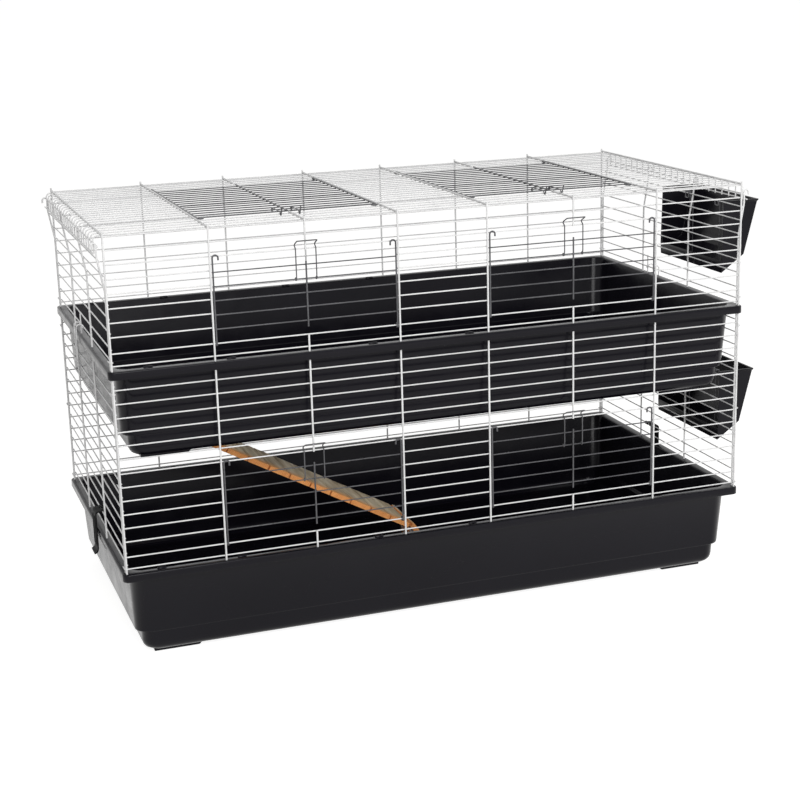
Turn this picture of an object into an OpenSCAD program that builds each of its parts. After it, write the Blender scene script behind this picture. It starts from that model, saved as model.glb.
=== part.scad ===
// Two-storey wire rabbit cage on moulded trays, with doors, latches, clips, hay racks and a ramp.
// Lengths in mm, +Z up, front towards -Y.

/* [Trays] */
// Outer length of the tray lips along X
cage_length = 1200; // [1190:1:1210]
// Outer width of the tray lips along Y
cage_width = 600; // [594:1:606]
// Height of the base tray's lip above the floor
base_lip_z = 170; // [168:0.5:172]
// Height of the middle tray's lip above the floor
mid_lip_z = 529; // [527:0.5:531]
// Wall thickness of the moulded trays
tray_wall = 2.6; // [2.2:0.1:3]
// Height of the skirt that hangs from each lip
skirt_drop = 14; // [12:0.5:16]

/* [Wires] */
// Diameter of the upright wires
upright_d = 3.4; // [3:0.1:3.6]
// Diameter of the cross wires
cross_d = 2.4; // [2.2:0.1:2.6]
// Diameter of the doors' rods
rod_d = 3; // [2.6:0.1:3.2]
// Diameter of the doors' cross bars
bar_d = 2.2; // [2:0.1:2.4]
// Diameter of the latch, clip and hook wires
latch_d = 2.2; // [2:0.1:2.4]
// Spacing of the cross wires
pitch = 24.4; // [24.2:0.1:24.6]
// Spacing of the upright wires along X
bay = 166.75; // [166:0.25:167.5]
// Height of the roof ribs above the floor
roof_z = 758.5; // [757:0.5:760]

/* [Ramp] */
// Width of the ramp along Y
ramp_width = 130; // [124:2:136]
// Thickness of the ramp's planks
slat_t = 10; // [9:0.5:12]

/* [Clips] */
// Width of the base tray's lever clips along Y
clip_width = 34; // [30:1:40]

/* [Hay racks] */
// Wall thickness of the hay racks
rack_wall = 2.2; // [1.8:0.1:2.6]
// Length of the hay racks along Y
rack_length = 240; // [234:2:246]

/* [Hidden] */
// Name of the one sub-part to draw, or all of them

$fn = 32;
gap = 0.05;
fit = 0.06;
L = cage_length / 2;
W = cage_width / 2;
// Outer upright plane, and the cross wire plane just inside it, for long sides and ends
yu = W - 7;
yc = yu - (upright_d + cross_d) / 2 - gap;
xu = L - 7;
xc = xu - (upright_d + cross_d) / 2 - gap;
corner_x = L - 7.5;
ux = [-corner_x, -2.5 * bay, -1.5 * bay, -0.5 * bay, 0.5 * bay, 1.5 * bay, 2.5 * bay, corner_x];
end_half = W - 12.5;
ends_y = [for (k = [-3, -1, 1, 3]) k * (W - 15) / 3];
// Door planes: rods outside, bars just inside them
yd = yu + 0.2;
yb = yd - (rod_d + bar_d) / 2 - gap;
door_x = 1.5 * bay;
door_half = bay - 4.5;
hinge_h = 29.5;
first_row = 57.2;
// The end panels' cross wires lie this much above those of the long sides
end_rise = 6;
// The base clips hang from the end panels' second wire and reach below the lip's skirt
clip_z = base_lip_z + hinge_h + end_rise;
clip_drop = 71.5;
tray_deep = 160.5;
foot_drop = 9.5;
lower_top = mid_lip_z - tray_wall - 0.2;
upper_top = roof_z + 4.5;
// Roof cross wires lie just under the ribs
roof_row_z = roof_z - (upright_d + cross_d) / 2 - gap;
roof_pitch = (W - 25) / 11;
// Rows above the hinge wires, and how many bars each front door has
lower_rows = row_count(base_lip_z + first_row, lower_top);
lower_end_rows = row_count(base_lip_z + first_row + end_rise, lower_top);
upper_rows = row_count(mid_lip_z + first_row, roof_row_z);
upper_end_rows = row_count(mid_lip_z + first_row + end_rise, roof_row_z);
lower_bars = 5;
upper_bars = upper_rows - 2;
end_drop_x = L + 5;
end_bar_x = end_drop_x + cross_d + gap;
end_bar_z = roof_z - 30.5;
// The upper end panels lean outward between these heights, and hook over the roof's end wire
crank = 9.9;
crank_z = end_bar_z - 66;
crank_top = end_bar_z - 8;
end_hook_r = end_bar_x - xu - crank;
rack_x = L + 1.5;
rack_out = 75;
rack_deep = 135;
rack_knee_out = 44.5;
rack_knee_deep = 104;
bail_out = 14;
// Shift that brings the middle of the whole object's footprint to the origin
ox = -(rack_x + rack_out - end_bar_x - end_hook_r - upright_d / 2) / 2;
oy = (yb + bail_out + latch_d / 2 - W) / 2;
white = [0.92, 0.92, 0.92];
dark = [0.2, 0.2, 0.21];
plastic = [0.15, 0.15, 0.165];

function row_count(first, top) = floor((top - first - 3) / pitch) + 1;
// Heights of a panel's cross wires above its lip, and of the one that a door's rods hook over
function rows(n) = [8, hinge_h, for (k = [0:n - 1]) first_row + pitch * k];
function catch_h(bars) = first_row + pitch * bars;
// How far the upper end panels lean out at the height z, and where their cross wires lie
function crank_at(z) = crank * min(1, max(0, (z - crank_z) / (crank_top - crank_z)));
function row_x(z) = xc + (z > crank_z ? crank_at(z) - gap : 0);
function unit(v) = v / norm(v);
function flat_to(a, t) = unit(a - (a * t) * t);
function dir_at(p, i) = i == 0 ? unit(p[1] - p[0])
  : i == len(p) - 1 ? unit(p[i] - p[i - 1])
  : unit(unit(p[i] - p[i - 1]) + unit(p[i + 1] - p[i]));
function bez(a, v, b, n) = [for (k = [0:n]) let(s = k / n)
  (1 - s) * (1 - s) * a + 2 * s * (1 - s) * v + s * s * b];
// A path with each inner corner rounded off over the length r
function rounded(p, r, n = 3) = [p[0],
  for (i = [1:len(p) - 2]) each bez(p[i] + r * unit(p[i - 1] - p[i]), p[i], p[i] + r * unit(p[i + 1] - p[i]), n),
  p[len(p) - 1]];
// Side vectors carried along a path without twist
function sides(p, i, a) = i >= len(p) ? []
  : let(s = flat_to(a, dir_at(p, i))) concat([s], sides(p, i + 1, s));

// A bent wire of eight flats along a path of points
module tube(p, d, ref = [0, 0, 1], n = 8) {
  s = sides(p, 0, ref);
  pts = [for (i = [0:len(p) - 1]) let(t = dir_at(p, i), b = cross(t, s[i]))
    each [for (k = [0:n - 1]) p[i] + d / 2 * (cos(360 * k / n) * s[i] + sin(360 * k / n) * b)]];
  m = len(p);
  faces = concat([[for (k = [0:n - 1]) k]], [[for (k = [n - 1:-1:0]) (m - 1) * n + k]],
    [for (i = [0:m - 2]) for (k = [0:n - 1]) let(j = (k + 1) % n) each
      [[i * n + k, (i + 1) * n + k, (i + 1) * n + j], [i * n + k, (i + 1) * n + j, i * n + j]]]);
  polyhedron(pts, faces, convexity = 6);
}

module xwire(x0, x1, y, z, d) {
  translate([x0, y, z]) rotate([0, 90, 0]) cylinder(h = x1 - x0, d = d);
}

module ywire(y0, y1, x, z, d) {
  translate([x, y0, z]) rotate([-90, 0, 0]) cylinder(h = y1 - y0, d = d);
}

module zwire(x, y, z0, z1, d) {
  translate([x, y, z0]) cylinder(h = z1 - z0, d = d);
}

module placed(c) {
  translate([ox, oy, 0]) color(c) children();
}

// Ring of a rounded rectangle at height z
function ring(hx, hy, r, z, n = 8) = [for (q = [0:3]) for (k = [0:n])
  let(a = 90 * q + 90 * k / n, sx = (q == 0 || q == 3) ? 1 : -1, sy = q < 2 ? 1 : -1)
  [sx * (hx - r) + r * cos(a), sy * (hy - r) + r * sin(a), z]];

module loft(rings) {
  n = len(rings[0]);
  m = len(rings);
  faces = concat([[for (k = [0:n - 1]) k]], [[for (k = [n - 1:-1:0]) (m - 1) * n + k]],
    [for (i = [0:m - 2]) for (k = [0:n - 1]) let(j = (k + 1) % n) each
      [[i * n + k, (i + 1) * n + k, (i + 1) * n + j], [i * n + k, (i + 1) * n + j, i * n + j]]]);
  polyhedron([for (g = rings) each g], faces, convexity = 8);
}

// Moulded tray whose lip top is at the height lip
module tray_shell(lip) {
  t = tray_wall;
  b = lip - tray_deep;
  loft([
    ring(L - 52, W - 46, 20, b),
    ring(L - 42, W - 36, 22, b + 2.5),
    ring(L - 35, W - 29, 24, b + 9),
    ring(L - 32.5, W - 26.5, 25, b + 19),
    ring(L - 31.5, W - 25.5, 25, b + 39.4),
    ring(L - 21, W - 25.3, 26, b + 40),
    ring(L - 13.5, W - 14, 27, lip - t),
    ring(L - t, W - t, 10, lip - t),
    ring(L - t, W - t, 10, lip - skirt_drop),
    ring(L, W, 12, lip - skirt_drop),
    ring(L, W, 12, lip - 1.4),
    ring(L - 0.5, W - 0.5, 12, lip - 0.4),
    ring(L - 1.5, W - 1.5, 12, lip),
    ring(L - 12.5 - t, W - 13 - t, 25, lip),
    ring(L - 13.8 - t, W - 14.3 - t, 24.5, lip - 1.5),
    ring(L - 21 - t, W - 25.3 - t, 24, b + 41),
    ring(L - 31.5 - t, W - 25.5 - t, 23, b + 40.4),
    ring(L - 32.5 - t, W - 26.5 - t, 22.5, b + 20),
    ring(L - 35 - t, W - 29 - t, 21.5, b + 11),
    ring(L - 42 - t, W - 36 - t, 19.5, b + t + 2.5),
    ring(L - 52 - t, W - 46 - t, 17.5, b + t)
  ]);
}

module foot(sx, sy, b) {
  translate([0, sy > 0 ? W - 53 : -W + 153, b]) rotate([90, 0, 0]) linear_extrude(height = 100)
    polygon([[sx * (L - 146), 1.3], [sx * (L - 136), -foot_drop], [sx * (L - 54), -foot_drop],
      [sx * (L - 53), 1.3]]);
}

module tray(lip) {
  b = lip - tray_deep;
  tray_shell(lip);
  for (sx = [-1, 1])
    for (sy = [-1, 1])
      foot(sx, sy, b);
  for (k = [-3.18, -2.32, -0.79, 0.3])
    for (sy = [-1, 1])
      xwire(k * bay - 8, k * bay + 8, sy * (W - 15.4), lip - 0.6, 6);
}

module base_tray() {
  placed(plastic) tray(base_lip_z);
}

module middle_tray() {
  placed(plastic) difference() {
    tray(mid_lip_z);
    translate([bar_x - 6, ramp_y - ramp_width / 2 - 15, mid_lip_z - tray_deep - 10])
      cube([hole_length, ramp_width + 30, 30]);
  }
}

module front_panel(lip, top, n, bars) {
  for (i = [0:7])
    if (i == 2 || i == 5) {
      zwire(ux[i], -yu, lip + gap, lip + hinge_h + 1.5, upright_d);
      zwire(ux[i], -yu, lip + catch_h(bars) - 1.4, top, upright_d);
    } else
      zwire(ux[i], -yu, lip + gap, top, upright_d);
  for (h = rows(n))
    if (h > first_row - 1 && h < catch_h(bars) - 1) {
      xwire(-corner_x - 1.5, -2.5 * bay + 1.6, -yc, lip + h, cross_d);
      xwire(-0.5 * bay - 1.6, 0.5 * bay + 1.6, -yc, lip + h, cross_d);
      xwire(2.5 * bay - 1.6, corner_x + 1.5, -yc, lip + h, cross_d);
    } else
      xwire(-corner_x - 1.5, corner_x + 1.5, -yc, lip + h, cross_d);
}

module rear_panel(lip, top, n) {
  for (x = ux)
    zwire(x, yu, lip + gap, top, upright_d);
  for (h = rows(n))
    xwire(-corner_x - 1.5, corner_x + 1.5, yc, lip + h, cross_d);
}

// Cross wires of the end panel on the side s
module end_rows(s, lip, n) {
  for (h = rows(n))
    ywire(-end_half, end_half, s * row_x(lip + h + end_rise), lip + h + end_rise, cross_d);
}

module lower_end(s) {
  for (y = ends_y)
    zwire(s * xu, y, base_lip_z + gap, lower_top, upright_d);
  end_rows(s, base_lip_z, lower_end_rows);
}

// Upper end uprights lean outward and hook over the roof's lower end wire
module upper_end(s) {
  xh = xu + crank;
  zt = end_bar_z + 13;
  rh = end_hook_r;
  path = concat(
    rounded([[xu, 0, crank_z - 4.5 + gap], [xu, 0, crank_z], [xh, 0, crank_top], [xh, 0, crank_top + 12]], 4, 2),
    [for (k = [0:5]) [end_bar_x - rh * cos(36 * k), 0, zt + rh * sin(36 * k)]],
    [[end_bar_x + rh, 0, zt - 5]]);
  for (y = ends_y) {
    zwire(s * xu, y, mid_lip_z + gap, crank_z - 4.5, upright_d);
    translate([0, y, 0]) tube([for (p = path) [s * p[0], 0, p[2]]], upright_d, [0, 1, 0]);
  }
  end_rows(s, mid_lip_z, upper_end_rows);
  zwire(s * xu, s > 0 ? 74 : 24, mid_lip_z + gap, mid_lip_z + 37, cross_d);
}

module lower_front_panel() {
  placed(white) front_panel(base_lip_z, lower_top, lower_rows, lower_bars);
}

module lower_rear_panel() {
  placed(white) rear_panel(base_lip_z, lower_top, lower_rows);
}

module lower_left_panel() {
  placed(white) lower_end(-1);
}

module lower_right_panel() {
  placed(white) lower_end(1);
}

module upper_front_panel() {
  placed(white) front_panel(mid_lip_z, upper_top, upper_rows, upper_bars);
}

module upper_rear_panel() {
  placed(white) rear_panel(mid_lip_z, upper_top, upper_rows);
}

module upper_left_panel() {
  placed(white) upper_end(-1);
}

module upper_right_panel() {
  placed(white) upper_end(1);
}

// Small hook from an end upright round the corner upright of the long side
module corner_hook(z) {
  r = 3.4;
  translate([-corner_x, -yu, z]) rotate([0, 0, 180]) rotate_extrude(angle = 130) translate([r, 0]) circle(r = 1);
  ywire(-yu + gap, -yu + 13, -corner_x - r, z, 2);
}

module corner_hooks(zs) {
  for (z = zs) {
    corner_hook(z);
    mirror([1, 0, 0]) corner_hook(z);
    mirror([0, 1, 0]) corner_hook(z);
    mirror([1, 0, 0]) mirror([0, 1, 0]) corner_hook(z);
  }
}

module lower_corner_hooks() {
  span = lower_top - base_lip_z - skirt_drop - 5;
  placed(white) corner_hooks([for (k = [0, 0.44, 0.92]) base_lip_z + 10 + span * k]);
}

module upper_corner_hooks() {
  placed(white) corner_hooks([mid_lip_z + 16]);
}

// Upright rod of a door from its eye round the hinge wire to the crook at its top
module door_rod(x, s, top) {
  difference() {
    union() {
      translate([x - rod_d / 2 - 0.3, -yc, hinge_h]) rotate([0, 90, 0]) cylinder(h = rod_d + 0.6, r = cross_d / 2 + 3);
      zwire(x, -yd, hinge_h, top - 3.2, rod_d);
    }
    translate([x - 4, -yc, hinge_h]) rotate([0, 90, 0]) cylinder(h = 8, r = cross_d / 2 + fit);
  }
  translate([x + s * 5, -yd, top - 3.2 + gap]) {
    rotate([90, 0, 0]) rotate_extrude(angle = 180) translate([5, 0]) circle(d = rod_d);
    translate([s * 5, 0, -4 - gap]) cylinder(h = 4, d = rod_d);
  }
}

module front_door(lip, c, bars) {
  top = catch_h(bars);
  translate([0, 0, lip]) {
    door_rod(c - door_half, 1, top);
    door_rod(c + door_half, -1, top);
    zwire(c, -yd, 44, top - 21.2, rod_d);
    for (k = [0:bars - 1])
      xwire(c - door_half - 1.3, c + door_half + 1.3, -yb, first_row - 3 + pitch * k, bar_d);
  }
}

// Latch bail: depth d outside the pivot bar and height h along the door, from two eyes at the bar
module bail(half, reach) {
  dd = latch_d;
  leg = [[3.0, 2.3], [4.0, 5.5], [4.0, reach + 1.1], [-3.4, reach + 5.8], [-0.6, reach + 8.4], [bail_out, reach + 15.6]];
  up = rounded([for (p = leg) [0, -p[0], p[1]]], 1.6, 2);
  n = len(up);
  path = concat([for (i = [0:n - 2]) [-half, up[i][1], up[i][2]]],
    [[-half + 0.4, up[n - 1][1] + 0.6, up[n - 1][2] - 0.3], [-half + 2.2, up[n - 1][1], up[n - 1][2]]],
    [[half - 2.2, up[n - 1][1], up[n - 1][2]], [half - 0.4, up[n - 1][1] + 0.6, up[n - 1][2] - 0.3]],
    [for (i = [n - 2:-1:0]) [half, up[i][1], up[i][2]]]);
  tube(path, dd, [1, 0, 0]);
  for (s = [-1, 1])
    difference() {
      translate([s * half - dd / 2, 0, 0]) rotate([0, 90, 0]) cylinder(h = dd, r = bar_d / 2 + 2);
      translate([s * half - 3, 0, 0]) rotate([0, 90, 0]) cylinder(h = 6, r = bar_d / 2 + fit);
    }
}

module front_latch(lip, c, bars) {
  translate([c, -yb, lip + first_row - 3 + pitch * (bars - 2)]) bail(18, 2 * pitch + 3);
}

module lower_door_left() {
  placed(dark) front_door(base_lip_z, -door_x, lower_bars);
}

module lower_door_right() {
  placed(dark) front_door(base_lip_z, door_x, lower_bars);
}

module upper_door_left() {
  placed(dark) front_door(mid_lip_z, -door_x, upper_bars);
}

module upper_door_right() {
  placed(dark) front_door(mid_lip_z, door_x, upper_bars);
}

module lower_latch_left() {
  placed(dark) front_latch(base_lip_z, -door_x, lower_bars);
}

module lower_latch_right() {
  placed(dark) front_latch(base_lip_z, door_x, lower_bars);
}

module upper_latch_left() {
  placed(dark) front_latch(mid_lip_z, -door_x, upper_bars);
}

module upper_latch_right() {
  placed(dark) front_latch(mid_lip_z, door_x, upper_bars);
}

// End of a roof cross wire, bent down over the end panel
module roof_end(s, y) {
  r = 8;
  mirror([s < 0 ? 1 : 0, 0, 0]) {
    translate([end_drop_x - r, y, roof_row_z - r]) rotate([90, 0, 0])
      rotate_extrude(angle = 90) translate([r, 0]) circle(d = cross_d);
    zwire(end_drop_x, y, end_bar_z - 1.8, roof_row_z - r, cross_d);
  }
}

module roof_panel() {
  x1 = end_drop_x - 8 - gap;
  placed(white) {
    for (i = [0:7])
      if (i == 2 || i == 5) {
        ywire(-yc + 0.5, -8 * roof_pitch + 1.4, ux[i], roof_z, upright_d);
        ywire(8 * roof_pitch - 1.4, yc - 0.5, ux[i], roof_z, upright_d);
      } else
        ywire(-yc + 0.5, yc - 0.5, ux[i], roof_z, upright_d);
    for (k = [-11:11]) {
      y = roof_pitch * k;
      if (abs(k) < 8) {
        xwire(-x1, -2.5 * bay + 1.6, y, roof_row_z, cross_d);
        xwire(-0.5 * bay - 1.6, 0.5 * bay + 1.6, y, roof_row_z, cross_d);
        xwire(2.5 * bay - 1.6, x1, y, roof_row_z, cross_d);
      } else
        xwire(-x1, x1, y, roof_row_z, cross_d);
      roof_end(1, y);
      roof_end(-1, y);
    }
    for (s = [-1, 1]) {
      xwire(-corner_x - 1.5, corner_x + 1.5, s * yc, roof_row_z, cross_d);
      ywire(-end_half, end_half, s * end_bar_x, end_bar_z, cross_d);
    }
  }
}

// Side rod of a roof door from its eye round the rear hinge wire to the crook at its front
module roof_rod(x, s) {
  zr = roof_z + 0.2;
  y0 = 8 * roof_pitch;
  difference() {
    union() {
      translate([x - rod_d / 2 - 0.3, y0, roof_row_z]) rotate([0, 90, 0]) cylinder(h = rod_d + 0.6, r = cross_d / 2 + 3);
      ywire(-y0 + 3.2, y0, x, zr, rod_d);
    }
    translate([x - 4, y0, roof_row_z]) rotate([0, 90, 0]) cylinder(h = 8, r = cross_d / 2 + fit);
  }
  translate([x + s * 5, -y0 + 3.2 - gap, zr]) {
    rotate([0, 0, 180]) rotate_extrude(angle = 180) translate([5, 0]) circle(d = rod_d);
    translate([s * 5, gap, 0]) rotate([-90, 0, 0]) cylinder(h = 4, d = rod_d);
  }
}

module roof_door(c) {
  zr = roof_z + 0.2;
  roof_rod(c - door_half, 1);
  roof_rod(c + door_half, -1);
  ywire(-7.4 * roof_pitch, 7.4 * roof_pitch, c, zr, rod_d);
  for (k = [-7:7])
    xwire(c - door_half - 1.3, c + door_half + 1.3, roof_pitch * k, zr - (rod_d + bar_d) / 2 - gap, bar_d);
}

// The bail turned to lie along the roof: its height runs to -Y and its outside is +Z
module roof_latch(c) {
  translate([c, -6 * roof_pitch, roof_z + 0.2 - (rod_d + bar_d) / 2 - gap]) rotate(a = 180, v = [0, 1, -1])
    bail(17, 2 * roof_pitch);
}

module roof_door_left() {
  placed(dark) roof_door(-door_x);
}

module roof_door_right() {
  placed(dark) roof_door(door_x);
}

module roof_latch_left() {
  placed(dark) roof_latch(-door_x);
}

module roof_latch_right() {
  placed(dark) roof_latch(door_x);
}

// Lever clip on the lower end panel's bottom wire, its tail just outside the tray's skirt
module base_clip(s, y0) {
  w = clip_width;
  low = -clip_drop;
  prof = [[0, 1.3], [11.2, 1.3], [14.2, -1.7], [14.2, low], [16, low - 5], [20.5, low - 7.5], [20.5, low - 9.9],
    [14.6, low - 7.4], [11.8, low - 0.6], [11.8, -2.6], [10.3, -1.1], [0, -1.1]];
  difference() {
    union() {
      ywire(y0, y0 + w, s * xc, clip_z, 6.8);
      translate([s * xc, y0 + w, clip_z]) rotate([90, 0, 0]) linear_extrude(height = w)
        polygon([for (p = prof) [s * p[0], p[1]]]);
    }
    ywire(y0 - 1, y0 + w + 1, s * xc, clip_z, cross_d + 2 * fit);
  }
}

module base_clip_left() {
  placed(plastic) base_clip(-1, -30 - clip_width / 2);
}

module base_clip_right() {
  placed(plastic) base_clip(1, 52 - clip_width / 2);
}

// Wire bail on the upper end panel's bottom wire, its legs drawn together outside the middle tray's lip
module tray_clip(s, y0) {
  dd = latch_d;
  out = 13;
  top = 12;
  low = 5;
  hook = rounded([[2.6, 1.9], [8, 4.5], [out, 1], [out, -3]], 2, 2);
  curl = rounded([[out, -54], [out, -58], [out + 2.5, -63.5], [out + 7, -62]], 2, 2);
  n = len(curl);
  path = concat([for (i = [0:n - 1]) [curl[i][0], -low, curl[i][1]]],
    [for (i = [n - 1:-1:0]) [curl[i][0], low, curl[i][1]]]);
  translate([s * xc, y0, mid_lip_z + 8 + end_rise]) {
    tube([for (p = rounded_end(path, n)) [s * p[0], p[1], p[2]]], dd, [0, 1, 0.01]);
    for (k = [-1, 1]) {
      translate([0, k * top, 0]) tube([for (p = hook) [s * p[0], 0, p[1]]], dd, [0, 1, 0]);
      tube([[s * out, k * top, -3.3], [s * out, k * low, -53.7]], dd, [1, 0, 0]);
      difference() {
        ywire(k * top - dd / 2, k * top + dd / 2, 0, 0, cross_d + 3.6);
        ywire(k * top - 3, k * top + 3, 0, 0, cross_d + 2 * fit);
      }
    }
  }
}

// Softens the two square turns at the middle of a bail's path
function rounded_end(p, n) = [for (i = [0:len(p) - 1]) each
  i == n - 1 ? bez(p[i] + 1.6 * unit(p[i - 1] - p[i]), p[i], p[i] + 1.6 * unit(p[i + 1] - p[i]), 2)
  : i == n ? bez(p[i] + 1.6 * unit(p[i - 1] - p[i]), p[i], p[i] + 1.6 * unit(p[i + 1] - p[i]), 2) : [p[i]]];

module tray_clip_left() {
  placed(white) tray_clip(-1, 30);
}

module tray_clip_right() {
  placed(white) tray_clip(1, 56);
}

// Height of the end panel's cross wire that a rack hangs from
function rack_row(lip, k) = lip + first_row + end_rise + pitch * k;
rack_y0 = -W * 23 / 75 - rack_length / 2;

// Open trough outside the right end, its rim just above the wire that it hangs from
module hay_rack(row) {
  z = row + 0.8;
  t = rack_wall;
  y0 = rack_y0;
  x0 = rack_x;
  difference() {
    union() {
      translate([0, y0 + rack_length, z]) rotate([90, 0, 0]) linear_extrude(height = rack_length)
        polygon([[x0, 0], [x0 + rack_out - 3.5, 0], [x0 + rack_knee_out, -rack_knee_deep], [x0, -rack_deep]]);
      translate([x0, y0 - 3.5, z - 2]) cube([rack_out, rack_length + 7, 2]);
    }
    translate([0, y0 + rack_length - t, z]) rotate([90, 0, 0]) linear_extrude(height = rack_length - 2 * t)
      polygon([[x0 - 2, 1], [x0 + rack_out - 3.5 - t, 1], [x0 + rack_out - 3.5 - t, 0],
        [x0 + rack_knee_out - t * 0.97, -rack_knee_deep + t * 0.6], [x0 + t, -rack_deep + t * 1.9],
        [x0 + t, 20 - rack_deep], [x0 - 2, 20 - rack_deep]]);
  }
}

// Doubled wire hook over the end panel's cross wire beside the rack's rim
module rack_hook(z, y) {
  xl = rack_x + rack_wall + gap + 1.2;
  xr = row_x(z) - 4.5;
  leg = rounded([[xl, z + 9 - rack_deep], [xl, z + 2.9], [xr, z + 2.9], [xr, z - 8]], 3, 3);
  n = len(leg);
  path = concat([for (i = [0:n - 1]) [leg[i][0], y - 6, leg[i][1]]],
    [for (i = [n - 1:-1:0]) [leg[i][0], y + 6, leg[i][1]]]);
  tube(rounded_end(path, n), 2.4, [0, 1, 0.01]);
}

module hay_rack_lower() {
  placed(plastic) hay_rack(rack_row(base_lip_z, 6));
}

module hay_rack_upper() {
  placed(plastic) hay_rack(rack_row(mid_lip_z, upper_rows - 2));
}

module rack_hooks_lower() {
  placed(dark) {
    rack_hook(rack_row(base_lip_z, 6), rack_y0 + rack_length * 17 / 32);
    rack_hook(rack_row(base_lip_z, 6), rack_y0 + 12);
  }
}

module rack_hooks_upper() {
  placed(dark) {
    rack_hook(rack_row(mid_lip_z, upper_rows - 2), rack_y0 + rack_length * 17 / 32);
    rack_hook(rack_row(mid_lip_z, upper_rows - 2), rack_y0 + 12);
  }
}

// Bar across the middle tray's opening, which the ramp hangs from
bar_x = -L * 121 / 150;
bar_z = mid_lip_z - tray_deep + tray_wall + gap + 2;
hole_length = 190;
slats = 14;
slat_gap = 2.4;
ramp_y = 5;
// Ramp's underside in X and Z: straight down from the opening, then bent steeply to the base tray's floor
ramp_pts = rounded([[bar_x + 10, bar_z - 13.1], [bar_x + L * 0.85, base_lip_z - tray_deep * 0.56],
  [bar_x + L * 0.87, base_lip_z - tray_deep + tray_wall + 0.9 - slat_gap / 2]], 30, 8);
ramp_last = len(ramp_pts) - 1;
function run(p, i, s) = i >= len(p) ? []
  : let(v = s + (i == 0 ? 0 : norm(p[i] - p[i - 1]))) concat([v], run(p, i + 1, v));
ramp_len = run(ramp_pts, 0, 0);
slat_pitch = ramp_len[ramp_last] / slats;
function ramp_xz(s) = [for (q = [0, 1]) lookup(s, [for (k = [0:ramp_last]) [ramp_len[k], ramp_pts[k][q]]])];

// Plank with chamfered upper edges, centred on the middle of its underside
module slat() {
  w = slat_pitch - slat_gap;
  c = 2;
  rotate([90, 0, 0]) linear_extrude(height = ramp_width, center = true)
    polygon([[-w / 2, 0], [w / 2, 0], [w / 2, slat_t - c], [w / 2 - c, slat_t], [c - w / 2, slat_t],
      [-w / 2, slat_t - c]]);
}

module ramp_slats() {
  placed([0.72, 0.5, 0.32])
    for (i = [0:slats - 1]) {
      c = ramp_xz((i + 0.5) * slat_pitch);
      a = ramp_xz((i + 0.05) * slat_pitch);
      b = ramp_xz((i + 0.95) * slat_pitch);
      translate([c[0], ramp_y, c[1]]) rotate([0, -atan2(b[1] - a[1], b[0] - a[0]), 0]) slat();
    }
}

// Bendable wires under the planks, with eyes round the bar at the opening
module ramp_wires() {
  below = 1.7;
  path = [for (i = [0:22]) let(s = min((0.15 + i * 13.7 / 22) * slat_pitch, ramp_len[ramp_last] - 2), c = ramp_xz(s),
    a = ramp_xz(s - 1), b = ramp_xz(s + 1), t = unit(b - a)) [c[0] + t[1] * below, 0, c[1] - t[0] * below]];
  placed(white)
    for (y = [ramp_y - ramp_width / 3, ramp_y + ramp_width / 3]) {
      translate([0, y, 0])
        tube(concat([[bar_x + 1.6, 0, bar_z - 4.2], [bar_x + 3.2, 0, bar_z - 8.5]], path), 3, [0, 1, 0]);
      difference() {
        ywire(y - 1.5, y + 1.5, bar_x, bar_z, 8.4);
        ywire(y - 4, y + 4, bar_x, bar_z, 4 + 2 * fit);
      }
    }
}

module ramp_bar() {
  placed(white) ywire(ramp_y - ramp_width / 2 - 28, ramp_y + ramp_width / 2 + 28, bar_x, bar_z, 4);
}

base_tray();
base_clip_left();
base_clip_right();
lower_front_panel();
lower_rear_panel();
lower_left_panel();
lower_right_panel();
lower_corner_hooks();
lower_door_left();
lower_door_right();
lower_latch_left();
lower_latch_right();
middle_tray();
ramp_bar();
ramp_slats();
ramp_wires();
upper_front_panel();
upper_rear_panel();
upper_left_panel();
upper_right_panel();
upper_corner_hooks();
upper_door_left();
upper_door_right();
upper_latch_left();
upper_latch_right();
tray_clip_left();
tray_clip_right();
roof_panel();
roof_door_left();
roof_door_right();
roof_latch_left();
roof_latch_right();
hay_rack_lower();
hay_rack_upper();
rack_hooks_lower();
rack_hooks_upper();
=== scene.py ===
"""Looks of the two-storey wire rabbit cage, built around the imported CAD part.

Shapes are written in millimetres around the middle of the trays; row() gives them in the row frame's metres.
"""

import math
import random

import bmesh
import bpy
from mathutils import Matrix, Vector, noise


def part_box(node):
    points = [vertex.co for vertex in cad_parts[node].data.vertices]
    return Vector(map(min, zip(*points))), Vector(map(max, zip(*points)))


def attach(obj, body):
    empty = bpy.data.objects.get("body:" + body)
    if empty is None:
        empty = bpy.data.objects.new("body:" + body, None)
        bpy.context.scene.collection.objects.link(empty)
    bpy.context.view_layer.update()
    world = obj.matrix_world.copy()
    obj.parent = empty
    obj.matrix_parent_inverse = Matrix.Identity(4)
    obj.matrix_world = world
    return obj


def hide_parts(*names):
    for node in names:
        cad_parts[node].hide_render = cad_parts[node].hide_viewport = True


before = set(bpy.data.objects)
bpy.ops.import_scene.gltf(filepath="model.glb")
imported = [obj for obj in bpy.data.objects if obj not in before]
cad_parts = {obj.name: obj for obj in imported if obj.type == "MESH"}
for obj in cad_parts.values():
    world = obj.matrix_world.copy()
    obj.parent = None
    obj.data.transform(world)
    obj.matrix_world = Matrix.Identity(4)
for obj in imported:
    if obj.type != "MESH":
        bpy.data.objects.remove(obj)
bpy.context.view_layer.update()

MM = 0.001

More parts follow.
